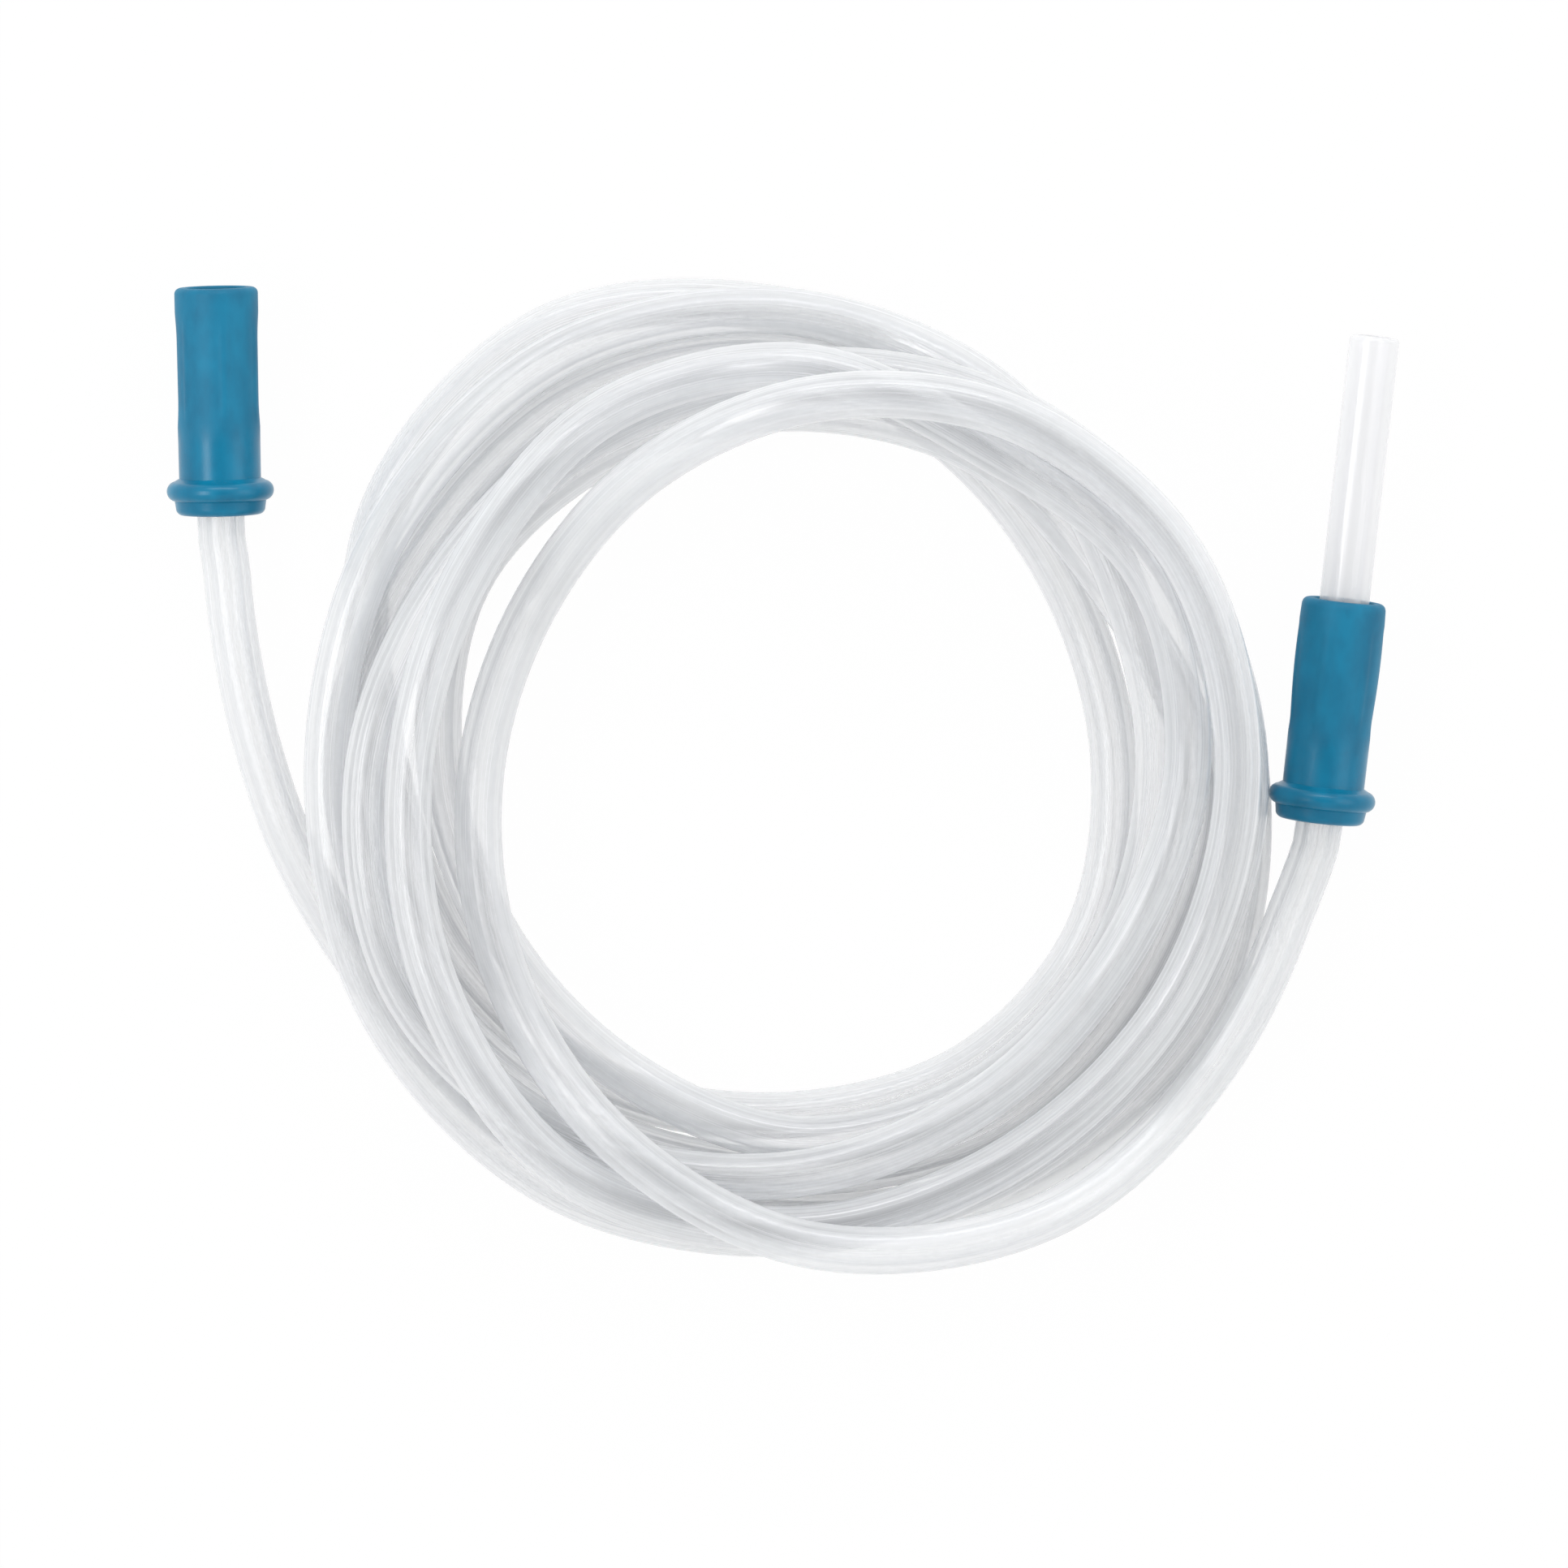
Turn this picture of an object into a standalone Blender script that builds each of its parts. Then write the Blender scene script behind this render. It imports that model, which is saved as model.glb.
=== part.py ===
"""Suction tubing, wound into a loose coil that lies on the floor plane.

A clear hollow tube is laid down in about seven and a half turns, each one resting on the turns under it. A soft
blue socket is moulded on each end, and a short clear adapter is pushed into the socket on the right.
Metres, +Z up. The origin is under the middle of the whole lying object.
"""
import math

import bmesh
import bpy
import numpy as np
from mathutils import Quaternion, Vector

MM = 0.001

# Gap kept between pieces that touch
CLEARANCE = 0.3 * MM

# Tube
TUBE_DIAMETER = 7.5 * MM
TUBE_BORE = 4.8 * MM
TUBE_SIDES = 8

# Soft socket on each end of the tube, measured along its axis from the end where the tube goes in
CONNECTOR_LENGTH = 36.4 * MM
CONNECTOR_SIDES = 36
BASE_DIAMETER = 14.2 * MM
BASE_LENGTH = 2.2 * MM
BASE_ROUNDING = 1.1 * MM
RING_DIAMETER = 17.0 * MM
RING_THICKNESS = 3.2 * MM
RING_TUCK = 0.15
RING_FOOT = 0.4 * MM
BARREL_DIAMETER = 13.0 * MM
MOUTH_DIAMETER = 13.25 * MM
MOUTH_ROUNDING = 1.0 * MM
SOCKET_FLARE = 0.45 * MM
SOCKET_DEPTH = 20.0 * MM
TUBE_SEAT_DEPTH = 14.0 * MM

# How far the adapter stretches the soft socket that holds it, at the middle of its depth
SOCKET_STRETCH = 0.3 * MM

# Long shallow grip hollows moulded round the barrel, with a narrow ridge left between each two
FLUTE_COUNT = 6
FLUTE_DEPTH = 0.18 * MM
FLUTE_START = 14.0 * MM
FLUTE_LENGTH = 18.0 * MM
FLUTE_RIDGE = 0.3

# Clear adapter in the right socket
ADAPTER_DIAMETER = 8.0 * MM
ADAPTER_BORE = 5.2 * MM
ADAPTER_LENGTH = 55.0 * MM
ADAPTER_SEAT_DEPTH = 14.0 * MM
ADAPTER_ROUNDING = 0.8 * MM
ADAPTER_SIDES = 24

# How the connectors lie: the ring is on the floor and the stiff tube holds the mouth up a little.
# Places in plan are measured from the coil's centre, and headings anticlockwise from +X.
COIL_CENTER = (2.56 * MM, 0.92 * MM)
NOSE_LIFT = math.radians(4.5)
LEFT_BASE = (-91.45 * MM, 40.0 * MM)
LEFT_HEADING = math.radians(91.1)
LEFT_ROLL = math.radians(12.0)
RIGHT_BASE = (82.4 * MM, -8.6 * MM)
RIGHT_HEADING = math.radians(83.6)
RIGHT_ROLL = math.radians(-20.0)
STRAIGHT_LEAD = 3.0 * MM

# Where the tube lies between the left connector and the coil, and between the coil and the right connector
LEFT_TAIL = (
    (-90.9 * MM, 32.0 * MM),
    (-90.2 * MM, 24.9 * MM),
    (-88.7 * MM, 15.2 * MM),
    (-87.1 * MM, 7.7 * MM),
    (-84.6 * MM, -1.3 * MM),
    (-81.7 * MM, -9.6 * MM),
    (-78.2 * MM, -17.3 * MM),
    (-73.9 * MM, -25.0 * MM),
)
RIGHT_TAIL = (
    (74.9 * MM, -30.6 * MM),
    (78.1 * MM, -23.3 * MM),
    (80.7 * MM, -17.0 * MM),
)

# Radius of each turn in millimetres at twelve even steps, anticlockwise from nine o'clock, in the order of laying
FIRST_TURN = (74.8, 72.5, 71.5, 72.0, 71.4, 70.8, 67.5, 65.8, 72.0, 80.3, 77.3)
MIDDLE_TURNS = (
    (66.5, 62.8, 60.5, 55.8, 54.4, 52.9, 50.2, 50.7, 55.8, 64.0, 67.8, 68.7),
    (72.0, 70.0, 67.0, 63.8, 64.3, 63.6, 63.2, 57.0, 56.8, 56.5, 58.0, 60.7),
    (57.2, 54.8, 55.3, 58.9, 58.7, 58.0, 58.5, 61.5, 66.5, 71.9, 75.5, 75.1),
    (74.5, 76.5, 76.8, 73.7, 71.8, 71.1, 70.8, 68.0, 65.0, 62.5, 61.7, 63.1),
    (68.0, 71.6, 69.0, 65.0, 60.0, 58.5, 59.6, 60.5, 58.5, 63.0, 63.6, 60.3),
    (61.8, 68.0, 73.9, 73.6, 71.0, 69.5, 69.2, 68.4, 63.6, 57.2, 52.1, 49.3),
)
LAST_TURN = (50.2, 55.6, 64.3, 74.6, 80.6, 80.8)
STEPS_PER_TURN = 12

# How finely the route is followed, and how far from a crossing the tube starts to rise over it
ROUTE_STEP = 3.0 * MM
RING_EVERY = 4
HUMP_REACH = 54.0 * MM
EASE_REACH = 6.0 * MM
LAYING_GAP = 0.35 * MM
SETTLE_ROUNDS = 12


def remove_everything():
    for item in list(bpy.data.objects):
        bpy.data.objects.remove(item, do_unlink=True)


def make_material(name, color, roughness, transmission=0.0):
    material = bpy.data.materials.new(name)
    material.use_nodes = True
    shader = material.node_tree.nodes["Principled BSDF"]
    shader.inputs["Base Color"].default_value = (*color, 1.0)
    shader.inputs["Roughness"].default_value = roughness
    shader.inputs["Metallic"].default_value = 0.0
    shader.inputs["Transmission Weight"].default_value = transmission
    material.diffuse_color = (*color, 1.0)
    return material


def add_object(name, data, material):
    piece = bpy.data.objects.new(name, data)
    bpy.context.scene.collection.objects.link(piece)
    data.materials.append(material)
    return piece


def axis_direction(heading):
    """Unit vector from a connector's base to its mouth."""
    level = math.cos(NOSE_LIFT)
    return Vector((math.cos(heading) * level, math.sin(heading) * level, math.sin(NOSE_LIFT)))


def ring_center_along_axis():
    return BASE_LENGTH + RING_THICKNESS / 2


def base_height():
    """Height of the axis at the connector's base when its ring lies on the floor."""
    ring_height = (RING_DIAMETER - RING_THICKNESS) / 2 * math.cos(NOSE_LIFT) + RING_THICKNESS / 2
    return ring_height - ring_center_along_axis() * math.sin(NOSE_LIFT)


def base_point(base):
    return Vector((COIL_CENTER[0] + base[0], COIL_CENTER[1] + base[1], base_height()))


def polar_point(radius_mm, step):
    angle = math.pi + step * 2 * math.pi / STEPS_PER_TURN
    radius = radius_mm * MM
    return (radius * math.cos(angle), radius * math.sin(angle))


def coil_points():
    """Points of the coil in plan, turn by turn, with the radius read at each step round the centre."""
    radii = list(FIRST_TURN)
    for turn in MIDDLE_TURNS:
        radii.extend(turn)
    radii.extend(LAST_TURN)
    return [polar_point(radius, index + 1) for index, radius in enumerate(radii)]


def axis_points(base, heading):
    """Plan points on a connector's axis: the tube's end, the base and a short straight lead outside it."""
    along = axis_direction(heading)
    stations = (TUBE_SEAT_DEPTH, 0.0, -STRAIGHT_LEAD)
    return [(base[0] + along.x * station, base[1] + along.y * station) for station in stations]


def smooth_curve(points, samples=24):
    """Dense row of plan positions on a smooth curve. Its slope at a point leans to the nearer neighbour."""
    knots = np.array(points)
    chords = np.diff(knots, axis=0)
    lengths = np.linalg.norm(chords, axis=1)[:, None]
    headings = chords / lengths
    before, after = lengths[:-1], lengths[1:]
    between = (headings[:-1] * after + headings[1:] * before) / (before + after)
    slopes = np.vstack((headings[:1], between, headings[-1:]))
    share = np.linspace(0, 1, samples, endpoint=False)[:, None]
    pieces = []
    for start, chord, length, leaving, arriving in zip(knots, chords, lengths, slopes, slopes[1:]):
        eased = share ** 2 * (3 - 2 * share)
        swing = share * (1 - share) ** 2 * leaving - share ** 2 * (1 - share) * arriving
        pieces.append(start + chord * eased + length * swing)
    pieces.append(knots[-1:])
    return np.vstack(pieces)


def even_steps(curve, step):
    """The same curve with a point about every step of its length."""
    lengths = np.linalg.norm(np.diff(curve, axis=0), axis=1)
    travelled = np.concatenate(([0.0], np.cumsum(lengths)))
    count = round(travelled[-1] / step) + 1
    stations = np.linspace(0, travelled[-1], count)
    spots = [np.interp(stations, travelled, curve[:, axis]) for axis in (0, 1)]
    return np.column_stack(spots), stations


def end_height(distance):
    """Height of the tube's centre, by plan distance from its end: straight in the connector, then down in a bow."""
    slope = math.tan(NOSE_LIFT)
    straight = (TUBE_SEAT_DEPTH + STRAIGHT_LEAD) * math.cos(NOSE_LIFT)
    end = base_height() + TUBE_SEAT_DEPTH * math.sin(NOSE_LIFT)
    drop = end - straight * slope - TUBE_DIAMETER / 2
    bow_length = 2 * drop / slope
    bow = np.clip(1 - (distance - straight) / bow_length, 0, 1)
    lying = TUBE_DIAMETER / 2 + drop * bow ** 2
    return np.where(distance < straight, end - distance * slope, lying)


def within_reach(values, reach):
    """A row of windows, each holding a value with its neighbours up to reach steps away on both sides."""
    return np.lib.stride_tricks.sliding_window_view(np.pad(values, reach, mode="edge"), 2 * reach + 1)


def hump_over(raised):
    """Rise and fall of the stiff tube around every place where it is lifted: long cosine humps, then eased."""
    reach = round(HUMP_REACH / ROUTE_STEP)
    bell = (1 + np.cos(np.linspace(-math.pi, math.pi, 2 * reach + 3)[1:-1])) / 2
    humps = (within_reach(raised, reach) * bell).max(axis=1)
    reach = round(EASE_REACH / ROUTE_STEP)
    weights = np.hanning(2 * reach + 3)[1:-1]
    highest = within_reach(humps, reach).max(axis=1)
    return within_reach(highest, reach) @ (weights / weights.sum())


def settle(plan, free_height):
    """Height of every point when each stretch of tube is laid on whatever is already under it."""
    pitch = TUBE_DIAMETER + LAYING_GAP
    apart = np.linalg.norm(plan[:, None] - plan[None], axis=2)
    laid_before = np.tril(np.ones_like(apart, dtype=bool), -round(2 * TUBE_DIAMETER * math.pi / ROUTE_STEP))
    step_up = np.sqrt(np.maximum(pitch ** 2 - apart ** 2, 0))
    step_up = np.where(laid_before & (apart < pitch), step_up, -np.inf)
    height = free_height
    for _ in range(SETTLE_ROUNDS):
        carried = (height[None, :] + step_up).max(axis=1)
        height = free_height + hump_over(np.maximum(carried - free_height, 0))
    return height


def tube_route():
    """Centreline of the whole tube in three dimensions, from its left end to its right end."""
    left = axis_points(LEFT_BASE, LEFT_HEADING)
    right = axis_points(RIGHT_BASE, RIGHT_HEADING)
    points = left + list(LEFT_TAIL) + coil_points() + list(RIGHT_TAIL) + right[::-1]
    plan, stations = even_steps(smooth_curve(points), ROUTE_STEP)
    free_height = np.maximum(end_height(stations), end_height(stations[-1] - stations))
    return np.column_stack((plan + np.array(COIL_CENTER), settle(plan, free_height)))


def make_tube(route):
    """Round tube swept along the route, hollowed by its wall and open at both ends."""
    line = bpy.data.curves.new("tube", "CURVE")
    line.dimensions = "3D"
    line.twist_mode = "Z_UP"
    line.bevel_depth = TUBE_DIAMETER / 2
    line.bevel_resolution = (TUBE_SIDES - 4) // 2
    line.use_fill_caps = False
    stations = route[::RING_EVERY]
    if (len(route) - 1) % RING_EVERY:
        stations = np.vstack((stations, route[-1]))
    spline = line.splines.new("POLY")
    spline.points.add(len(stations) - 1)
    for point, place in zip(spline.points, stations):
        point.co = (*place, 1.0)
    tube = add_object("tube", line, make_material("clear_vinyl", (0.84, 0.86, 0.90), 0.25, 0.6))
    wall = tube.modifiers.new("wall", "SOLIDIFY")
    wall.thickness = (TUBE_DIAMETER - TUBE_BORE) / 2
    wall.offset = -1.0
    return tube


def quarter_round(center, radius, start, end, steps=3):
    """Points of a rounded edge in the profile's plane, as (along, out)."""
    points = []
    for index in range(steps + 1):
        angle = start + (end - start) * index / steps
        points.append((center[0] + radius * math.cos(angle), center[1] + radius * math.sin(angle)))
    return points


def socket_bulge(along, stretch):
    """How far the barrel stands out at one place where the adapter stretches its socket."""
    share = (along - (CONNECTOR_LENGTH - SOCKET_DEPTH)) / SOCKET_DEPTH
    return stretch * math.sin(math.pi * share) if 0 < share < 1 else 0.0


def connector_outside(stretch):
    """Outer profile from the base to the mouth, as (along, out)."""
    quarter = math.pi / 2
    base_radius = BASE_DIAMETER / 2
    ring_round = RING_THICKNESS / 2
    ring_center = (ring_center_along_axis(), RING_DIAMETER / 2 - ring_round)
    barrel_radius = BARREL_DIAMETER / 2
    mouth_radius = MOUTH_DIAMETER / 2
    outline = quarter_round((BASE_ROUNDING, base_radius - BASE_ROUNDING), BASE_ROUNDING, 2 * quarter, quarter, 2)
    outline += quarter_round(ring_center, ring_round, (2 - RING_TUCK) * quarter, RING_TUCK * quarter, 6)
    barrel_start = BASE_LENGTH + RING_THICKNESS + RING_FOOT
    barrel_end = CONNECTOR_LENGTH - MOUTH_ROUNDING
    stations = [barrel_start, FLUTE_START]
    stations += [FLUTE_START + FLUTE_LENGTH * share for share in (0.1, 0.25, 0.5, 0.75, 0.9, 1.0)]
    for station in stations:
        share = (station - barrel_start) / (barrel_end - barrel_start)
        radius = barrel_radius + (mouth_radius - barrel_radius) * share
        outline.append((station, radius + socket_bulge(station, stretch)))
    outline += quarter_round((barrel_end, mouth_radius - MOUTH_ROUNDING), MOUTH_ROUNDING, quarter, 0.0)
    return outline


def connector_inside():
    """Inner profile from the mouth back to the base: socket, narrow passage and the tube's seat."""
    socket_floor = CONNECTOR_LENGTH - SOCKET_DEPTH
    grip_start = CONNECTOR_LENGTH - ADAPTER_SEAT_DEPTH
    grip_radius = ADAPTER_DIAMETER / 2 + CLEARANCE
    passage_radius = TUBE_BORE / 2
    seat_radius = TUBE_DIAMETER / 2 + CLEARANCE
    seat_floor = TUBE_SEAT_DEPTH + CLEARANCE
    return [
        (CONNECTOR_LENGTH, grip_radius + SOCKET_FLARE),
        (grip_start - CLEARANCE, grip_radius),
        (socket_floor, grip_radius - CLEARANCE),
        (socket_floor, passage_radius),
        (seat_floor, passage_radius),
        (seat_floor, seat_radius),
        (0.0, seat_radius),
    ]


def flute_depth(along, angle):
    """How far the barrel is hollowed at one place: long hollows with rounded ends and narrow ridges between."""
    share = (along - FLUTE_START) / FLUTE_LENGTH
    if not 0 < share < 1:
        return 0.0
    fade = min(1.0, 4 * min(share, 1 - share))
    across = abs(math.cos(FLUTE_COUNT * angle / 2))
    hollow = min(1.0, max(0.0, (across - FLUTE_RIDGE) / (1 - FLUTE_RIDGE)))
    return FLUTE_DEPTH * math.sin(fade * math.pi / 2) * math.sin(hollow * math.pi / 2)


def revolve(name, outside, inside, sides, hollow=None):
    """Closed hollow turned about Z from its outer profile and its bore, hollowed outside where a function says so."""
    mesh = bpy.data.meshes.new(name)
    shape = bmesh.new()
    rings = []
    for along, out in outside + inside:
        ring = []
        for side in range(sides):
            angle = 2 * math.pi * side / sides
            radius = out - (hollow(along, angle) if hollow and len(rings) < len(outside) else 0.0)
            ring.append(shape.verts.new((radius * math.cos(angle), radius * math.sin(angle), along)))
        rings.append(ring)
    for index, ring in enumerate(rings):
        following = rings[(index + 1) % len(rings)]
        for side in range(sides):
            beside = (side + 1) % sides
            shape.faces.new((ring[side], ring[beside], following[beside], following[side]))
    bmesh.ops.recalc_face_normals(shape, faces=shape.faces)
    shape.to_mesh(mesh)
    shape.free()
    mesh.shade_smooth()
    mesh.set_sharp_from_angle(angle=math.radians(40))
    return mesh


def lay_on_axis(piece, base, heading, roll=0.0, distance=0.0):
    """Turn the piece's Z to a connector's axis and roll it, with its own origin at a distance from the base."""
    direction = axis_direction(heading)
    piece.rotation_mode = "QUATERNION"
    piece.rotation_quaternion = direction.to_track_quat("Z", "Y") @ Quaternion((0.0, 0.0, 1.0), roll)
    piece.location = base_point(base) + direction * distance


def make_connector(name, base, heading, roll, stretch=0.0):
    mesh = revolve(name, connector_outside(stretch), connector_inside(), CONNECTOR_SIDES, flute_depth)
    piece = add_object(name, mesh, make_material(name + "_vinyl", (0.03, 0.25, 0.44), 0.4))
    lay_on_axis(piece, base, heading, roll)
    return piece


def make_adapter():
    """Straight clear tube with rounded ends, pushed into the right socket up to its seat."""
    quarter = math.pi / 2
    radius = ADAPTER_DIAMETER / 2
    edge = radius - ADAPTER_ROUNDING
    bore = ADAPTER_BORE / 2
    outside = quarter_round((ADAPTER_ROUNDING, edge), ADAPTER_ROUNDING, 2 * quarter, quarter)
    outside += quarter_round((ADAPTER_LENGTH - ADAPTER_ROUNDING, edge), ADAPTER_ROUNDING, quarter, 0.0)
    inside = [(ADAPTER_LENGTH, bore), (0.0, bore)]
    mesh = revolve("male_adapter", outside, inside, ADAPTER_SIDES)
    piece = add_object("male_adapter", mesh, make_material("clear_styrene", (0.88, 0.89, 0.90), 0.15, 0.5))
    lay_on_axis(piece, RIGHT_BASE, RIGHT_HEADING, distance=CONNECTOR_LENGTH - ADAPTER_SEAT_DEPTH)
    return piece


def main():
    remove_everything()
    make_tube(tube_route())
    make_connector("left_connector", LEFT_BASE, LEFT_HEADING, LEFT_ROLL)
    make_connector("right_connector", RIGHT_BASE, RIGHT_HEADING, RIGHT_ROLL, SOCKET_STRETCH)
    make_adapter()


main()
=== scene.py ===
# Suction tubing wound into a loose coil, with a soft blue connector on each end and a clear adapter in one of them
import math

import bpy
import numpy as np
from mathutils import Matrix, Quaternion, Vector


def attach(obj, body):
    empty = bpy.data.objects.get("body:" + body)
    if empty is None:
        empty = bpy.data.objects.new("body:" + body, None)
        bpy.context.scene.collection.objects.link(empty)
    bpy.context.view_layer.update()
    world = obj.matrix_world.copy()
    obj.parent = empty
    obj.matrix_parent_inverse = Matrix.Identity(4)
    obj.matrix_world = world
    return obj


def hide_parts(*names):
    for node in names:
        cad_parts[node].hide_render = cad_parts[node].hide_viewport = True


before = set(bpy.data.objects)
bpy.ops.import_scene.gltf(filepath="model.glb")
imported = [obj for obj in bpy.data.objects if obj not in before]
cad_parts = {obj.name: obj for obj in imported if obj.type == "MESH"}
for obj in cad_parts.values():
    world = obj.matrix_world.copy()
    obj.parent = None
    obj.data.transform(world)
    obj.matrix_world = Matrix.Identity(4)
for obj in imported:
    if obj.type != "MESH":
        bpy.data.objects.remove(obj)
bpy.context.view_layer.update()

mm = 0.001
print("Frame loaded with nodes", sorted(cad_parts))

# Camera straight above the coil, far away with a long lens, as the photograph shows it
cameraSetup = {
    "imageWidth": 1932,           # pixels
    "pixelSize": 0.128 * mm,      # on the object
    "middle": (0.12 * mm, -1.8 * mm),
    "sharpHeight": 22 * mm,       # the height at which the scale is exact
    "lens": 400.0,
    "sensor": 36.0,
}


def placeCamera():
    data = bpy.data.cameras.new("camera")
    data.lens = cameraSetup["lens"]
    data.sensor_width = cameraSetup["sensor"]
    data.clip_end = 20.0
    camera = bpy.data.objects.new("camera", data)
    bpy.context.scene.collection.objects.link(camera)
    fieldWidth = cameraSetup["imageWidth"] * cameraSetup["pixelSize"]
    distance = fieldWidth * cameraSetup["lens"] / cameraSetup["sensor"]
    camera.location = (*cameraSetup["middle"], cameraSetup["sharpHeight"] + distance)
    bpy.context.scene.camera = camera


placeCamera()
print("Camera placed")

# How the object lies. Places in plan are measured from the coil's centre, headings anticlockwise from +X.
lying = {
    "coilCenter": (2.56 * mm, 0.92 * mm),
    "noseLift": math.radians(4.5),
    "leftBase": (-91.7 * mm, 40.0 * mm),
    "leftHeading": math.radians(91.1),
    "leftRoll": math.radians(12.0),
    "leftGive": 0.35 * mm,
    "rightBase": (82.4 * mm, -8.6 * mm),
    "rightHeading": math.radians(83.6),
    "rightRoll": math.radians(-20.0),
    "rightGive": 1.1 * mm,
}

# Soft moulded connector, measured along its axis from the end where the tube goes in
connector = {
    "length": 36.4 * mm,
    "sides": 120,
    "baseDiameter": 14.2 * mm,
    "baseLength": 2.2 * mm,
    "baseRounding": 1.1 * mm,
    "ringDiameter": 17.0 * mm,
    "ringThickness": 3.2 * mm,
    "ringTuck": 0.15,
    "ringFoot": 0.4 * mm,
    "barrelDiameter": 13.0 * mm,
    "mouthDiameter": 13.25 * mm,
    "mouthRounding": 1.0 * mm,
    "lipRounding": 0.35 * mm,     # on the inner edge of the mouth
    "socketFlare": 0.45 * mm,
    "socketDepth": 20.0 * mm,
    "socketStretch": 0.3 * mm,    # how far the adapter widens the socket that holds it
    "tubeSeatDepth": 14.0 * mm,
    "fluteCount": 6,
    "fluteDepth": 0.18 * mm,
    "fluteStart": 14.0 * mm,
    "fluteLength": 18.0 * mm,
    "fluteRidge": 0.2,
    "fluteFlank": 0.35,
    "clearance": 0.3 * mm,
}

# Clear adapter in the right connector
adapter = {
    "diameter": 8.0 * mm,
    "bore": 5.2 * mm,
    "length": 55.0 * mm,
    "seatDepth": 14.0 * mm,
    "rounding": 0.8 * mm,
    "sides": 72,
}

# Clear tube: its section, and the route on which it was laid down.
# A turn is twelve radii in millimetres, anticlockwise from nine o'clock.
tube = {
    "diameter": 7.5 * mm,
    "bore": 4.8 * mm,
    "outsideSides": 32,
    "boreSides": 20,
    "length": 3.17,
    "straightLead": 3.0 * mm,
    "leftTail": (
        (-90.9 * mm, 32.0 * mm),
        (-90.2 * mm, 24.9 * mm),
        (-88.7 * mm, 15.2 * mm),
        (-87.1 * mm, 7.7 * mm),
        (-84.6 * mm, -1.3 * mm),
        (-81.7 * mm, -9.6 * mm),
        (-78.2 * mm, -17.3 * mm),
        (-73.9 * mm, -25.0 * mm),
    ),
    "firstTurn": (74.8, 72.5, 71.3, 74.0, 75.4, 70.8, 67.5, 65.7, 72.0, 80.3, 77.3),
    "middleTurns": (
        (65.6, 61.9, 58.9, 55.2, 54.4, 52.8, 50.0, 50.6, 55.8, 64.6, 68.3, 68.7),
        (72.0, 69.2, 66.0, 64.2, 65.1, 63.6, 63.2, 57.0, 57.3, 56.8, 58.6, 60.3),
        (57.0, 54.8, 55.6, 58.9, 58.7, 57.6, 56.8, 58.6, 66.2, 71.9, 75.5, 75.1),
        (74.5, 76.5, 76.8, 73.7, 71.8, 70.9, 70.6, 68.0, 65.3, 62.5, 61.7, 63.1),
        (68.0, 71.6, 69.0, 64.2, 60.0, 58.5, 61.2, 62.6, 58.5, 63.0, 63.6, 60.4),
        (61.3, 66.6, 73.5, 73.0, 70.2, 69.4, 69.0, 68.5, 63.8, 57.2, 52.0, 49.1),
    ),
    "lastTurn": (50.3, 55.6, 64.3, 74.9, 81.1, 80.9),
    "rightTail": (
        (74.9 * mm, -30.6 * mm),
        (77.8 * mm, -23.3 * mm),
        (80.3 * mm, -17.0 * mm),
    ),
    "stepsPerTurn": 12,
    "routeStep": 3.0 * mm,
    "humpReach": 54.0 * mm,       # how far from a crossing the tube starts to rise
    "easeReach": 6.0 * mm,
    "endEase": 22.0 * mm,
    "layingGap": 0.35 * mm,
    "settleRounds": 12,
    "twistPerMetre": 2.1,         # radians that the extrusion lines roll round the tube in a metre
}


def axisDirection(heading):
    level = math.cos(lying["noseLift"])
    return Vector((math.cos(heading) * level, math.sin(heading) * level, math.sin(lying["noseLift"])))


def ringCenter():
    return connector["baseLength"] + connector["ringThickness"] / 2


def baseHeight():
    # the axis at the connector's base when its ring lies on the floor
    radius = (connector["ringDiameter"] - connector["ringThickness"]) / 2
    ringHeight = radius * math.cos(lying["noseLift"]) + connector["ringThickness"] / 2
    return ringHeight - ringCenter() * math.sin(lying["noseLift"])


def basePoint(base):
    center = lying["coilCenter"]
    return Vector((center[0] + base[0], center[1] + base[1], baseHeight()))


def polarPoint(radius, step):
    angle = math.pi + step * 2 * math.pi / tube["stepsPerTurn"]
    return (radius * mm * math.cos(angle), radius * mm * math.sin(angle))


def coilPoints():
    radii = list(tube["firstTurn"])
    for turn in tube["middleTurns"]:
        radii.extend(turn)
    radii.extend(tube["lastTurn"])
    return [polarPoint(radius, index + 1) for index, radius in enumerate(radii)]


def axisPoints(base, heading):
    along = axisDirection(heading)
    stations = (connector["tubeSeatDepth"], 0.0, -tube["straightLead"])
    return [(base[0] + along.x * station, base[1] + along.y * station) for station in stations]


def smoothCurve(points, samples=24):
    # the slope at a point leans to the nearer neighbour
    knots = np.array(points)
    chords = np.diff(knots, axis=0)
    lengths = np.linalg.norm(chords, axis=1)[:, None]
    headings = chords / lengths
    before, after = lengths[:-1], lengths[1:]
    between = (headings[:-1] * after + headings[1:] * before) / (before + after)
    slopes = np.vstack((headings[:1], between, headings[-1:]))
    share = np.linspace(0, 1, samples, endpoint=False)[:, None]
    pieces = []
    for start, chord, length, leaving, arriving in zip(knots, chords, lengths, slopes, slopes[1:]):
        eased = share ** 2 * (3 - 2 * share)
        swing = share * (1 - share) ** 2 * leaving - share ** 2 * (1 - share) * arriving
        pieces.append(start + chord * eased + length * swing)
    pieces.append(knots[-1:])
    return np.vstack(pieces)


def evenSteps(curve, step):
    lengths = np.linalg.norm(np.diff(curve, axis=0), axis=1)
    travelled = np.concatenate(([0.0], np.cumsum(lengths)))
    count = round(travelled[-1] / step) + 1
    stations = np.linspace(0, travelled[-1], count)
    spots = [np.interp(stations, travelled, curve[:, axis]) for axis in (0, 1)]
    return np.column_stack(spots), stations


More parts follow.
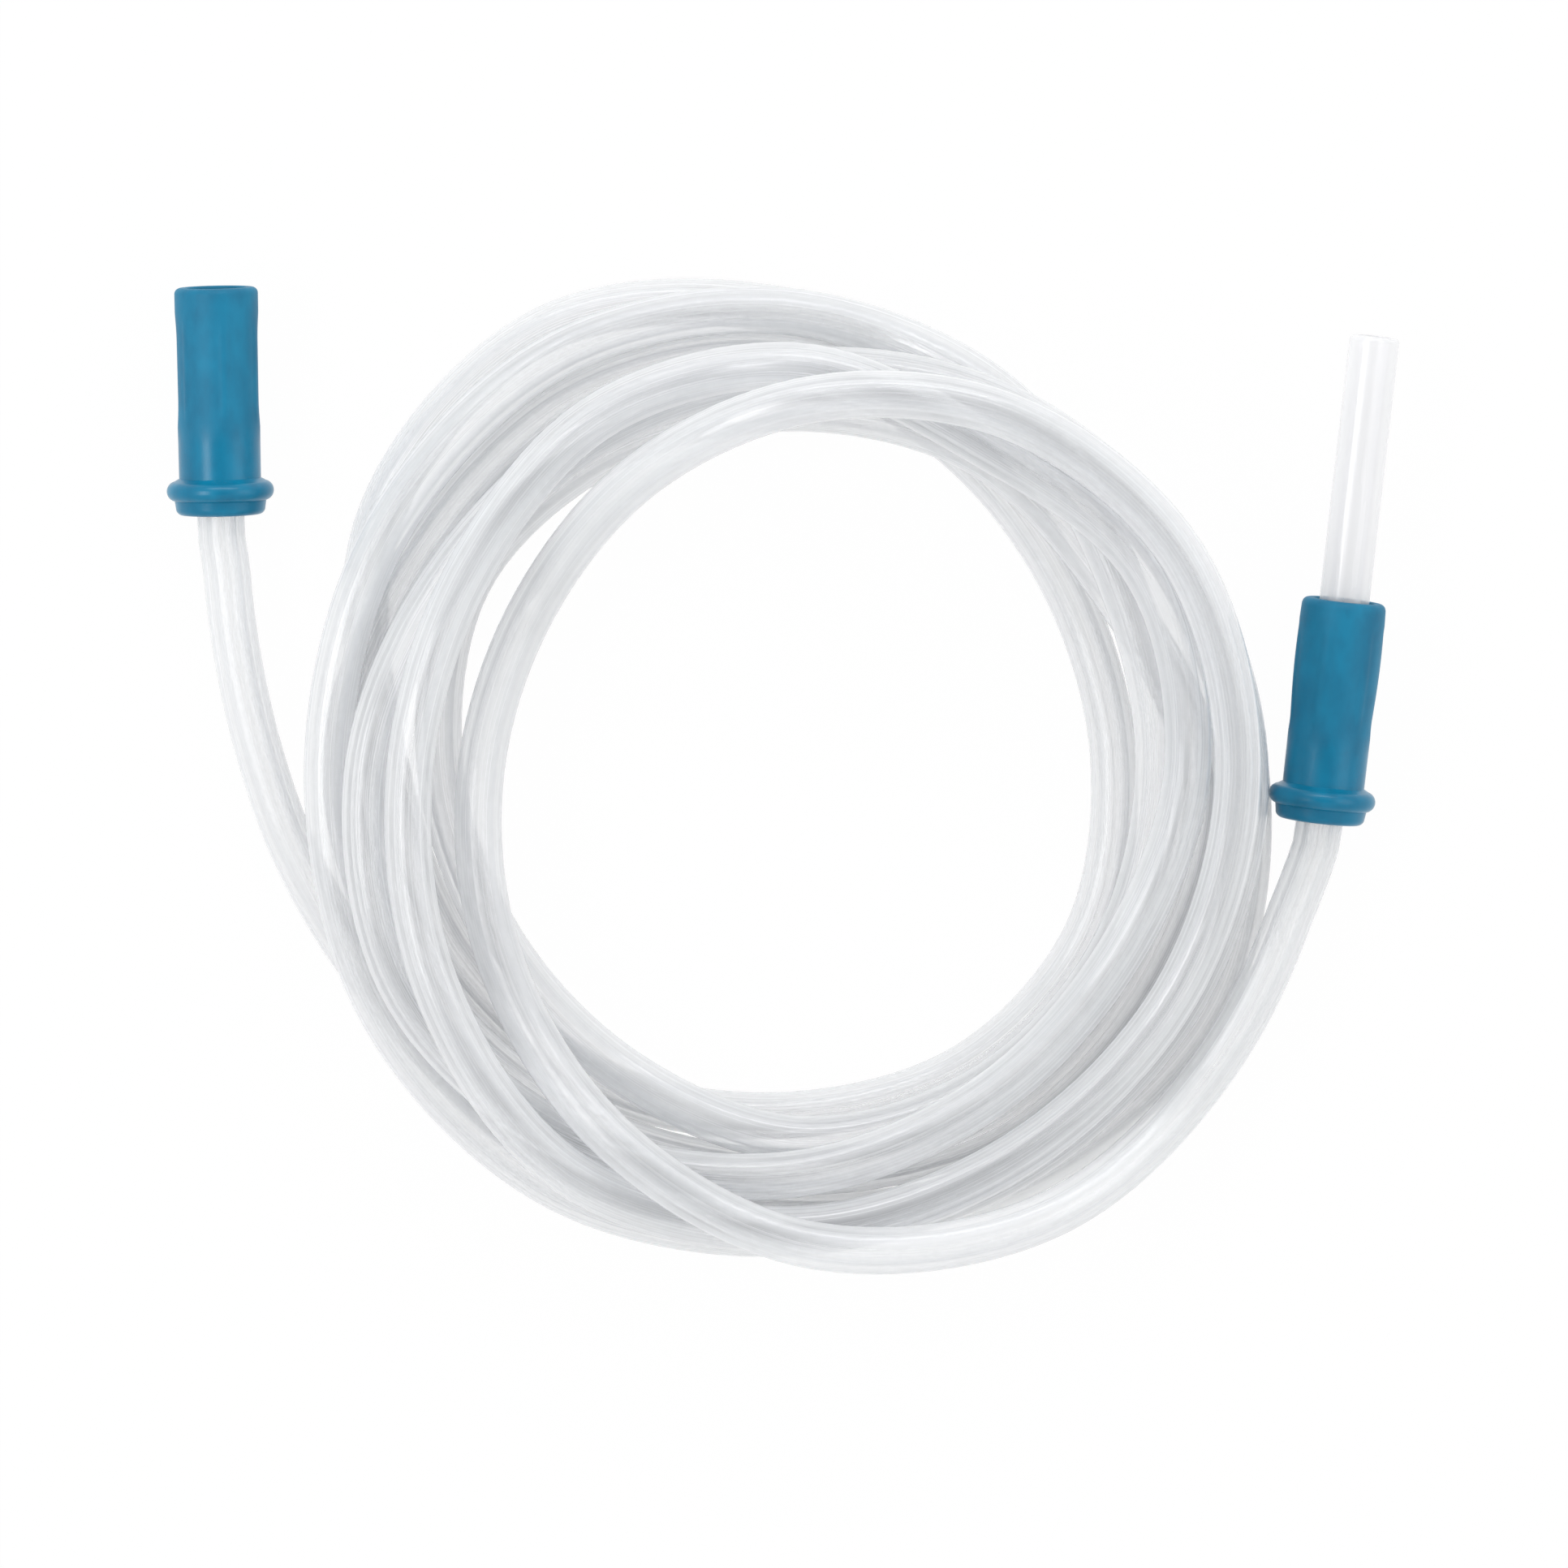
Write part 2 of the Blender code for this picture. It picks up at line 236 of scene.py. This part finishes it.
def endHeight(distance):
    # straight in the connector, then down to the floor in a bow
    slope = math.tan(lying["noseLift"])
    straight = (connector["tubeSeatDepth"] + tube["straightLead"]) * math.cos(lying["noseLift"])
    end = baseHeight() + connector["tubeSeatDepth"] * math.sin(lying["noseLift"])
    drop = end - straight * slope - tube["diameter"] / 2
    bowLength = 2 * drop / slope
    bow = np.clip(1 - (distance - straight) / bowLength, 0, 1)
    flat = tube["diameter"] / 2 + drop * bow ** 2
    return np.where(distance < straight, end - distance * slope, flat)


def withinReach(values, reach):
    return np.lib.stride_tricks.sliding_window_view(np.pad(values, reach, mode="edge"), 2 * reach + 1)


def humpOver(raised):
    # the stiff tube rises and falls slowly round each place where it is lifted
    reach = round(tube["humpReach"] / tube["routeStep"])
    bell = (1 + np.cos(np.linspace(-math.pi, math.pi, 2 * reach + 3)[1:-1])) / 2
    humps = (withinReach(raised, reach) * bell).max(axis=1)
    reach = round(tube["easeReach"] / tube["routeStep"])
    weights = np.hanning(2 * reach + 3)[1:-1]
    highest = withinReach(humps, reach).max(axis=1)
    return withinReach(highest, reach) @ (weights / weights.sum())


def settle(plan, freeHeight):
    # each stretch is laid on whatever is already under it
    pitch = tube["diameter"] + tube["layingGap"]
    apart = np.linalg.norm(plan[:, None] - plan[None], axis=2)
    laidBefore = np.tril(np.ones_like(apart, dtype=bool), -round(2 * tube["diameter"] * math.pi / tube["routeStep"]))
    stepUp = np.sqrt(np.maximum(pitch ** 2 - apart ** 2, 0))
    stepUp = np.where(laidBefore & (apart < pitch), stepUp, -np.inf)
    height = freeHeight
    for _ in range(tube["settleRounds"]):
        carried = (height[None, :] + stepUp).max(axis=1)
        height = freeHeight + humpOver(np.maximum(carried - freeHeight, 0))
    return height


def tubeRoute():
    left = axisPoints(lying["leftBase"], lying["leftHeading"])
    right = axisPoints(lying["rightBase"], lying["rightHeading"])
    points = left + list(tube["leftTail"]) + coilPoints() + list(tube["rightTail"]) + right[::-1]
    plan, stations = evenSteps(smoothCurve(points), tube["routeStep"])
    freeHeight = np.maximum(endHeight(stations), endHeight(stations[-1] - stations))
    lift = settle(plan, freeHeight) - freeHeight
    # inside the connectors the tube stays on their axis
    fromEnd = np.minimum(stations, stations[-1] - stations) - connector["tubeSeatDepth"] - tube["straightLead"]
    share = np.clip(fromEnd / tube["endEase"], 0, 1)
    height = freeHeight + lift * share ** 2 * (3 - 2 * share)
    return np.column_stack((plan + np.array(lying["coilCenter"]), height))


def unitRows(vectors):
    return vectors / np.linalg.norm(vectors, axis=1)[:, None]


def addPiece(name, vertices, faces, attributes, sharpAngle=40):
    mesh = bpy.data.meshes.new(name)
    mesh.from_pydata(vertices.tolist(), [], faces)
    for label, values in attributes.items():
        isVector = values.ndim == 2
        layer = mesh.attributes.new(label, "FLOAT_VECTOR" if isVector else "FLOAT", "POINT")
        layer.data.foreach_set("vector" if isVector else "value", values.astype(np.float32).ravel())
    mesh.shade_smooth()
    mesh.set_sharp_from_angle(angle=math.radians(sharpAngle))
    mesh.validate()
    piece = bpy.data.objects.new(name, mesh)
    bpy.context.scene.collection.objects.link(piece)
    return piece


def bridge(first, second, sides):
    # four-sided faces between two rings, each given by the number of its first vertex
    faces = []
    for side in range(sides):
        beside = (side + 1) % sides
        faces.append((first + side, first + beside, second + beside, second + side))
    return faces


def sweepTube(route):
    # outer skin and bore swept along the route, joined by a flat ring at each end
    tangent = unitRows(np.gradient(route, axis=0))
    across = unitRows(np.cross(tangent, (0.0, 0.0, 1.0)))
    upward = np.cross(across, tangent)
    travelled = np.concatenate(([0.0], np.cumsum(np.linalg.norm(np.diff(route, axis=0), axis=1))))
    vertices, sections, faces = [], [], []
    firsts = []
    start = 0
    for radius, sides in ((tube["diameter"] / 2, tube["outsideSides"]), (tube["bore"] / 2, tube["boreSides"])):
        angle = np.arange(sides) * 2 * math.pi / sides
        spoke = across[:, None] * np.cos(angle)[None, :, None] + upward[:, None] * np.sin(angle)[None, :, None]
        vertices.append((route[:, None] + radius * spoke).reshape(-1, 3))
        rolled = angle[None, :] + tube["twistPerMetre"] * travelled[:, None]
        length = np.broadcast_to(travelled[:, None], rolled.shape)
        sections.append(np.stack((np.cos(rolled), np.sin(rolled), length), axis=2).reshape(-1, 3))
        rings = [start + index * sides for index in range(len(route))]
        for near, far in zip(rings, rings[1:]):
            faces += bridge(near, far, sides) if not firsts else [face[::-1] for face in bridge(near, far, sides)]
        firsts.append((rings[0], rings[-1]))
        start += sides * len(route)
    faces += endRing(firsts[0][0], firsts[1][0], True)
    faces += endRing(firsts[0][1], firsts[1][1], False)
    return addPiece("clearTube", np.vstack(vertices), faces, {"section": np.vstack(sections)})


def endRing(outer, inner, nearEnd):
    # closes the wall between two rings that have different numbers of sides
    outside, inside = tube["outsideSides"], tube["boreSides"]
    faces = []
    placeOut, placeIn = 0, 0
    while placeOut < outside or placeIn < inside:
        goOut = placeIn == inside or (placeOut < outside and (placeOut + 1) / outside <= (placeIn + 1) / inside)
        here, there = outer + placeOut % outside, inner + placeIn % inside
        if goOut:
            placeOut += 1
            face = (here, there, outer + placeOut % outside)
        else:
            placeIn += 1
            face = (here, there, inner + placeIn % inside)
        faces.append(face if nearEnd else face[::-1])
    return faces


def arcPoints(center, radius, start, end, steps):
    points = []
    for index in range(steps + 1):
        angle = start + (end - start) * index / steps
        points.append((center[0] + radius * math.cos(angle), center[1] + radius * math.sin(angle)))
    return points


def socketBulge(station, stretch):
    share = (station - (connector["length"] - connector["socketDepth"])) / connector["socketDepth"]
    return stretch * math.sin(math.pi * share) if 0 < share < 1 else 0.0


def connectorOutside(stretch):
    quarter = math.pi / 2
    rounding = connector["baseRounding"]
    ringRound = connector["ringThickness"] / 2
    ringPlace = (ringCenter(), connector["ringDiameter"] / 2 - ringRound)
    baseEdge = (rounding, connector["baseDiameter"] / 2 - rounding)
    outline = arcPoints(baseEdge, rounding, 2 * quarter, quarter, 8)
    tuck = connector["ringTuck"]
    outline += arcPoints(ringPlace, ringRound, (2 - tuck) * quarter, tuck * quarter, 20)
    barrelStart = connector["baseLength"] + connector["ringThickness"] + connector["ringFoot"]
    barrelEnd = connector["length"] - connector["mouthRounding"]
    barrelRadius = connector["barrelDiameter"] / 2
    mouthRadius = connector["mouthDiameter"] / 2
    for share in np.linspace(0, 1, 70):
        station = barrelStart + (barrelEnd - barrelStart) * share
        radius = barrelRadius + (mouthRadius - barrelRadius) * share
        outline.append((station, radius + socketBulge(station, stretch)))
    mouthEdge = (barrelEnd, mouthRadius - connector["mouthRounding"])
    outline += arcPoints(mouthEdge, connector["mouthRounding"], quarter, 0.0, 8)[1:]
    return outline


def connectorInside():
    clearance = connector["clearance"]
    socketFloor = connector["length"] - connector["socketDepth"]
    gripStart = connector["length"] - adapter["seatDepth"]
    gripRadius = adapter["diameter"] / 2 + clearance
    passageRadius = tube["bore"] / 2
    seatRadius = tube["diameter"] / 2 + clearance
    seatFloor = connector["tubeSeatDepth"] + clearance
    lip = connector["lipRounding"]
    lipEdge = (connector["length"] - lip, gripRadius + connector["socketFlare"] + lip)
    return arcPoints(lipEdge, lip, 0.0, -math.pi / 2, 5) + [
        (gripStart - clearance, gripRadius),
        (socketFloor, gripRadius - clearance),
        (socketFloor, passageRadius),
        (seatFloor, passageRadius),
        (seatFloor, seatRadius),
        (0.0, seatRadius),
    ]


def fluteHollow(along, angle):
    # long hollows with rounded ends and a narrow ridge between each two
    share = (along - connector["fluteStart"]) / connector["fluteLength"]
    if not 0 < share < 1:
        return 0.0
    fade = min(1.0, 4 * min(share, 1 - share))
    across = abs(math.cos(connector["fluteCount"] * angle / 2))
    hollow = min(1.0, max(0.0, (across - connector["fluteRidge"]) / connector["fluteFlank"]))
    return connector["fluteDepth"] * math.sin(fade * math.pi / 2) * math.sin(hollow * math.pi / 2)


def turnProfile(name, outside, inside, sides, hollow=None):
    # closed hollow turned about Z from its outer profile and its bore
    vertices, faces = [], []
    for ring, (station, out) in enumerate(outside + inside):
        for side in range(sides):
            angle = 2 * math.pi * side / sides
            radius = out - (hollow(station, angle) if hollow and ring < len(outside) else 0.0)
            vertices.append((radius * math.cos(angle), radius * math.sin(angle), station))
    ringCount = len(outside) + len(inside)
    for ring in range(ringCount):
        following = (ring + 1) % ringCount
        faces += bridge(ring * sides, following * sides, sides)
    return addPiece(name, np.array(vertices), faces, {"place": np.array(vertices)})


def layOnAxis(piece, base, heading, roll=0.0, distance=0.0):
    direction = axisDirection(heading)
    turn = direction.to_track_quat("Z", "Y") @ Quaternion((0.0, 0.0, 1.0), roll)
    piece.data.transform(Matrix.Translation(basePoint(base) + direction * distance) @ turn.to_matrix().to_4x4())


def pressedBack(outline, amount):
    # the soft socket gives a little along its length
    floor = connector["length"] - connector["socketDepth"]
    share = 1 - amount / connector["socketDepth"]
    return [(station if station < floor else floor + (station - floor) * share, out) for station, out in outline]


def makeConnector(name, side, stretch=0.0):
    outside = pressedBack(connectorOutside(stretch), lying[side + "Give"])
    inside = pressedBack(connectorInside(), lying[side + "Give"])
    piece = turnProfile(name, outside, inside, connector["sides"], fluteHollow)
    layOnAxis(piece, lying[side + "Base"], lying[side + "Heading"], lying[side + "Roll"])
    piece.data.materials.append(blueVinyl())
    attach(piece, "root")
    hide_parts(side + "_connector")
    return piece


def makeAdapter():
    quarter = math.pi / 2
    rounding = adapter["rounding"]
    edge = adapter["diameter"] / 2 - rounding
    bore = adapter["bore"] / 2
    outside = arcPoints((rounding, edge), rounding, 2 * quarter, quarter, 8)
    stations = np.linspace(2 * rounding, adapter["length"] - 2 * rounding, 30)
    outside += [(station, adapter["diameter"] / 2) for station in stations]
    outside += arcPoints((adapter["length"] - rounding, edge), rounding, quarter, 0.0, 8)
    inside = [(adapter["length"], bore), (0.0, bore)]
    piece = turnProfile("clearAdapter", outside, inside, adapter["sides"])
    distance = connector["length"] - adapter["seatDepth"]
    layOnAxis(piece, lying["rightBase"], lying["rightHeading"], distance=distance)
    piece.data.materials.append(clearStyrene())
    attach(piece, "root")
    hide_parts("male_adapter")
    return piece


def newMaterial(name):
    material = bpy.data.materials.new(name)
    material.use_nodes = True
    return material, material.node_tree, material.node_tree.nodes["Principled BSDF"]


def addNode(tree, kind, **settings):
    node = tree.nodes.new(kind)
    for label, value in settings.items():
        setattr(node, label, value)
    return node


def stretchedNoise(tree, source, stretch, detail):
    # noise on a vector that is scaled along each of its parts
    scaled = addNode(tree, "ShaderNodeVectorMath", operation="MULTIPLY")
    scaled.inputs[1].default_value = stretch
    tree.links.new(source, scaled.inputs[0])
    noise = addNode(tree, "ShaderNodeTexNoise")
    noise.inputs["Scale"].default_value = 1.0
    noise.inputs["Detail"].default_value = detail
    tree.links.new(scaled.outputs[0], noise.inputs["Vector"])
    return noise.outputs["Fac"]


def colorBetween(tree, factor, dark, light, low=0.3, high=0.7):
    ramp = addNode(tree, "ShaderNodeValToRGB")
    ramp.color_ramp.elements[0].position = low
    ramp.color_ramp.elements[0].color = (*dark, 1.0)
    ramp.color_ramp.elements[1].position = high
    ramp.color_ramp.elements[1].color = (*light, 1.0)
    tree.links.new(factor, ramp.inputs["Fac"])
    return ramp.outputs["Color"]


def valueBetween(tree, factor, low, high, fromLow=0.3, fromHigh=0.7):
    span = addNode(tree, "ShaderNodeMapRange")
    for label, value in (("From Min", fromLow), ("From Max", fromHigh), ("To Min", low), ("To Max", high)):
        span.inputs[label].default_value = value
    tree.links.new(factor, span.inputs["Value"])
    return span.outputs["Result"]


def bumpFrom(tree, height, distance, strength):
    bump = addNode(tree, "ShaderNodeBump")
    bump.inputs["Distance"].default_value = distance
    bump.inputs["Strength"].default_value = strength
    tree.links.new(height, bump.inputs["Height"])
    return bump.outputs["Normal"]


def milkyAlpha(tree, facing, rim):
    # clearer where it faces the eye than at its rim, where the wall is looked along
    layer = addNode(tree, "ShaderNodeLayerWeight")
    layer.inputs["Blend"].default_value = 0.5
    return valueBetween(tree, layer.outputs["Facing"], facing, rim, 0.0, 1.0)


def addGlossyCoat(shader, look):
    shader.inputs["IOR"].default_value = look["ior"]
    shader.inputs["Coat Weight"].default_value = 1.0
    shader.inputs["Coat IOR"].default_value = look["coatIor"]
    shader.inputs["Coat Roughness"].default_value = look["coatRoughness"]


# Clear soft plastic of the tube. A pattern's three numbers are how often it changes round the section,
# which takes two of them, and how often along a metre.
clearVinylLook = {
    "streaks": (7.0, 7.0, 3.0),
    "streakColors": ((0.875, 0.895, 0.93), (0.95, 0.97, 0.995)),
    "waves": (1.6, 1.6, 12.0),
    "roughness": (0.25, 0.4),
    "lines": (10.0, 10.0, 2.0),
    "lineMilk": (0.0, 0.17),      # how much a fine line clouds the wall
    "lineShare": (0.48, 0.72),    # the part of the pattern that turns into lines
    "milk": (0.17, 0.82),         # cloudiness facing the eye and at the rim
    "softLight": 0.5,
    "softLightReach": 3.0 * mm,
    "ior": 1.45,
    "coatIor": 1.9,
    "coatRoughness": 0.12,
}


def clearVinyl():
    look = clearVinylLook
    material, tree, shader = newMaterial("clearVinyl")
    section = addNode(tree, "ShaderNodeAttribute", attribute_name="section").outputs["Vector"]
    streaks = stretchedNoise(tree, section, look["streaks"], detail=1.0)
    waves = stretchedNoise(tree, section, look["waves"], detail=0.0)
    tree.links.new(colorBetween(tree, streaks, *look["streakColors"]), shader.inputs["Base Color"])
    tree.links.new(valueBetween(tree, waves, *look["roughness"]), shader.inputs["Roughness"])
    lines = stretchedNoise(tree, section, look["lines"], detail=1.0)
    cloud = addNode(tree, "ShaderNodeMath", operation="ADD", use_clamp=True)
    tree.links.new(milkyAlpha(tree, *look["milk"]), cloud.inputs[0])
    tree.links.new(valueBetween(tree, lines, *look["lineMilk"], *look["lineShare"]), cloud.inputs[1])
    tree.links.new(cloud.outputs[0], shader.inputs["Alpha"])
    shader.inputs["Subsurface Weight"].default_value = look["softLight"]
    shader.inputs["Subsurface Radius"].default_value = (1.0, 1.0, 1.0)
    shader.inputs["Subsurface Scale"].default_value = look["softLightReach"]
    addGlossyCoat(shader, look)
    return material


# Soft blue plastic of the sockets, smooth near the ring and matte towards the mouth
blueVinylLook = {
    "mottle": (260.0, 260.0, 160.0),
    "colors": ((0.0, 0.145, 0.27), (0.0, 0.2, 0.355)),
    "grain": (3200.0, 3200.0, 3200.0),
    "grainDepth": 0.03 * mm,
    "grainStrength": 0.4,
    "roughness": (0.28, 0.55),
    "turnsMatte": (11.5 * mm, 15 * mm),   # along the axis
    "ior": 1.48,
    "specular": 0.4,
}


def blueVinyl():
    look = blueVinylLook
    material, tree, shader = newMaterial("blueVinyl")
    place = addNode(tree, "ShaderNodeAttribute", attribute_name="place").outputs["Vector"]
    parts = addNode(tree, "ShaderNodeSeparateXYZ")
    tree.links.new(place, parts.inputs[0])
    mottle = stretchedNoise(tree, place, look["mottle"], detail=3.0)
    grain = stretchedNoise(tree, place, look["grain"], detail=2.0)
    tree.links.new(colorBetween(tree, mottle, *look["colors"]), shader.inputs["Base Color"])
    matte = valueBetween(tree, parts.outputs["Z"], *look["roughness"], *look["turnsMatte"])
    tree.links.new(matte, shader.inputs["Roughness"])
    tree.links.new(bumpFrom(tree, grain, look["grainDepth"], look["grainStrength"]), shader.inputs["Normal"])
    shader.inputs["IOR"].default_value = look["ior"]
    shader.inputs["Specular IOR Level"].default_value = look["specular"]
    return material


# Clear hard plastic of the adapter, with faint flow marks along it
clearStyreneLook = {
    "flow": (500.0, 500.0, 40.0),
    "colors": ((0.92, 0.925, 0.945), (0.97, 0.97, 0.985)),
    "roughness": (0.2, 0.3),
    "flowDepth": 0.05 * mm,
    "flowStrength": 0.4,
    "milk": (0.3, 0.75),
    "ior": 1.5,
    "coatIor": 1.9,
    "coatRoughness": 0.08,
}


def clearStyrene():
    look = clearStyreneLook
    material, tree, shader = newMaterial("clearStyrene")
    place = addNode(tree, "ShaderNodeAttribute", attribute_name="place").outputs["Vector"]
    flow = stretchedNoise(tree, place, look["flow"], detail=3.0)
    tree.links.new(colorBetween(tree, flow, *look["colors"]), shader.inputs["Base Color"])
    tree.links.new(valueBetween(tree, flow, *look["roughness"]), shader.inputs["Roughness"])
    tree.links.new(bumpFrom(tree, flow, look["flowDepth"], look["flowStrength"]), shader.inputs["Normal"])
    tree.links.new(milkyAlpha(tree, *look["milk"]), shader.inputs["Alpha"])
    addGlossyCoat(shader, look)
    return material


leftConnector = makeConnector("leftSocket", "left")
rightConnector = makeConnector("rightSocket", "right", connector["socketStretch"])
clearAdapter = makeAdapter()
print("Connectors and adapter made")

route = tubeRoute()
clearTube = sweepTube(route)
clearTube.data.materials.append(clearVinyl())
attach(clearTube, "root")
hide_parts("tube")
print("Tube laid on", len(route), "points")

# White floor, which keeps a trace of the object's shadow
floorSetup = {
    "size": 12.0,
    "drop": 0.2 * mm,             # below the lowest strand
    "roughness": 0.9,
    "white": (0.92, 0.92, 0.92),
    "glow": 0.98,                 # how far it shows pure white to the camera
}


def layFloor():
    half = floorSetup["size"] / 2
    mesh = bpy.data.meshes.new("floor")
    corners = [(-half, -half, 0.0), (half, -half, 0.0), (half, half, 0.0), (-half, half, 0.0)]
    mesh.from_pydata(corners, [], [(0, 1, 2, 3)])
    floor = bpy.data.objects.new("floor", mesh)
    bpy.context.scene.collection.objects.link(floor)
    floor.location.z = -floorSetup["drop"]
    material, tree, shader = newMaterial("whiteFloor")
    shader.inputs["Base Color"].default_value = (*floorSetup["white"], 1.0)
    shader.inputs["Roughness"].default_value = floorSetup["roughness"]
    shader.inputs["Specular IOR Level"].default_value = 0.0
    glow = addNode(tree, "ShaderNodeEmission")
    blend = addNode(tree, "ShaderNodeMixShader")
    tree.links.new(seenDirectly(tree, floorSetup["glow"]), blend.inputs[0])
    tree.links.new(shader.outputs[0], blend.inputs[1])
    tree.links.new(glow.outputs[0], blend.inputs[2])
    tree.links.new(blend.outputs[0], tree.nodes["Material Output"].inputs["Surface"])
    mesh.materials.append(material)


def seenDirectly(tree, amount):
    # the given amount for what the camera sees, also mirrored or through the clear pieces, and otherwise none
    path = addNode(tree, "ShaderNodeLightPath")
    seen = path.outputs["Is Camera Ray"]
    for ray in ("Is Transmission Ray", "Is Glossy Ray"):
        either = addNode(tree, "ShaderNodeMath", operation="MAXIMUM")
        tree.links.new(seen, either.inputs[0])
        tree.links.new(path.outputs[ray], either.inputs[1])
        seen = either.outputs[0]
    share = addNode(tree, "ShaderNodeMath", operation="MULTIPLY")
    share.inputs[1].default_value = amount
    tree.links.new(seen, share.inputs[0])
    return share.outputs[0]


# Pale grey room, darker right above the object, where the camera and its stand are.
# The height is that of the direction from the object, 1 straight up.
room = {
    "light": 0.8,
    "zenithLight": 0.35,
    "zenithEdge": (0.88, 0.97),
}

# Large softboxes at the sides and behind
lamps = {
    "leftSoftbox": {"place": (-0.80, 0.05, 1.05), "size": (0.9, 0.4), "power": 5.2},
    "rightSoftbox": {"place": (1.00, 0.10, 0.75), "size": (1.0, 0.7), "power": 2.0},
    "backSoftbox": {"place": (0.05, 1.10, 0.80), "size": (1.2, 0.2), "power": 4.5},
}


def placeLamps():
    for name, setup in lamps.items():
        data = bpy.data.lights.new(name, "AREA")
        data.shape = "RECTANGLE"
        data.size, data.size_y = setup["size"]
        data.energy = setup["power"]
        lamp = bpy.data.objects.new(name, data)
        bpy.context.scene.collection.objects.link(lamp)
        lamp.location = setup["place"]
        lamp.rotation_mode = "QUATERNION"
        lamp.rotation_quaternion = (-Vector(setup["place"])).to_track_quat("-Z", "Y")


def lightRoom():
    world = bpy.data.worlds.new("paleRoom")
    world.use_nodes = True
    tree = world.node_tree
    background = tree.nodes["Background"]
    background.inputs["Color"].default_value = (1.0, 1.0, 1.0, 1.0)
    parts = addNode(tree, "ShaderNodeSeparateXYZ")
    tree.links.new(addNode(tree, "ShaderNodeTexCoord").outputs["Generated"], parts.inputs[0])
    level = valueBetween(tree, parts.outputs["Z"], room["light"], room["zenithLight"], *room["zenithEdge"])
    tree.links.new(level, background.inputs["Strength"])
    bpy.context.scene.world = world


layFloor()
placeLamps()
lightRoom()
bpy.context.scene.view_settings.view_transform = "Standard"
print("Floor, lamps and room ready")
